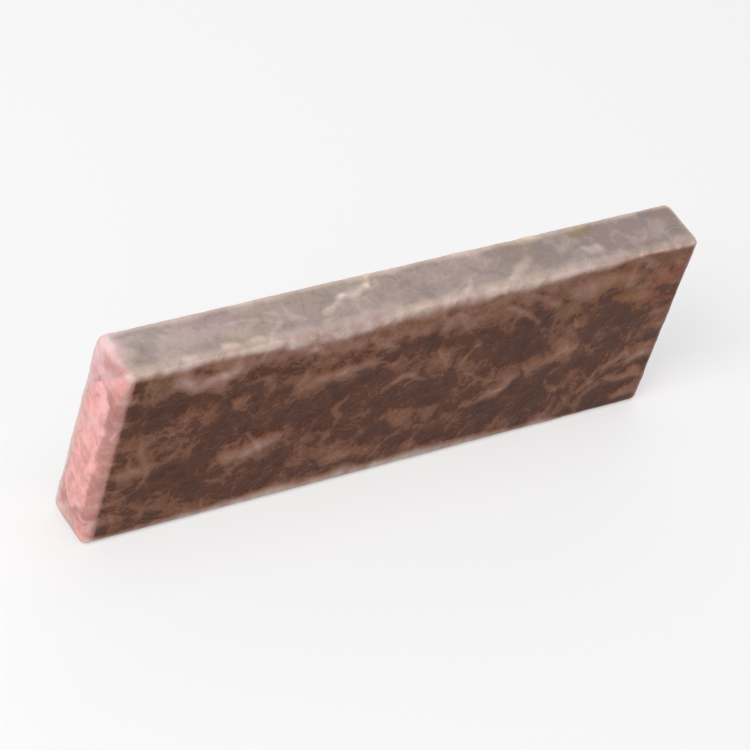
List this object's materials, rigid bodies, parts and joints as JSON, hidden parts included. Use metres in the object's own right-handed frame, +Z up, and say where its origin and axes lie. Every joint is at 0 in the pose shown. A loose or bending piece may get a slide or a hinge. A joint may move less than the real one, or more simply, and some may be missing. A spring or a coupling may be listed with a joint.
{
  "type": "gauge block",
  "caption": "Long rectangular gauge block standing on its narrow side, in a tight oiled anti-rust wrap with parcel-folded ends.",
  "frame": {"origin": "middle of the narrow face that the block stands on, under the middle of its length", "axes": "+Z up; +X along the block's length, from the left end to the right end; +Y across its width, from the front to the lapped back"},
  "size_m": [0.103, 0.0096, 0.0352],
  "materials": {
    "oiled_wrap": "thin pink film wet with oil over dark steel, satin, mottled, paler along the edges and salmon pink on the folded ends"
  },
  "bodies": {
    "root": {"gauge_block": "oiled_wrap"}
  },
  "joints": []
}
